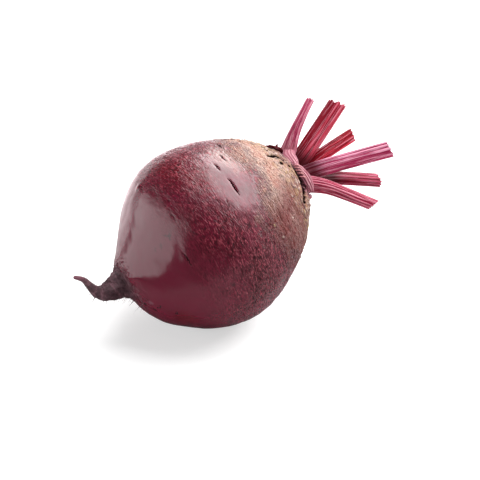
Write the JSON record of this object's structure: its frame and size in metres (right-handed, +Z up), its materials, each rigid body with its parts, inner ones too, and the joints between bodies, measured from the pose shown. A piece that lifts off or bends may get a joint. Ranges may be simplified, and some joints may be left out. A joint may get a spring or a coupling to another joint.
{
  "type": "beetroot",
  "caption": "Whole globe beetroot lying on its side, with a corky crown, short cut leaf stalks and a curled tap root.",
  "frame": {"origin": "middle of the small flat spot that the root rests on, under its centre of mass", "axes": "+Z up from the surface it rests on; +X level, from the tap root towards the crown; +Y to the left of +X"},
  "size_m": [0.1447, 0.0808, 0.0845],
  "materials": {
    "skin": "satin",
    "stalk": "satin"
  },
  "bodies": {
    "root": {"root": "skin", "stalk_upper_thin": "stalk", "stalk_broad": "stalk", "stalk_back": "stalk", "stalk_long": "stalk", "stalk_lower": "stalk", "stalk_front": "stalk"}
  },
  "joints": []
}
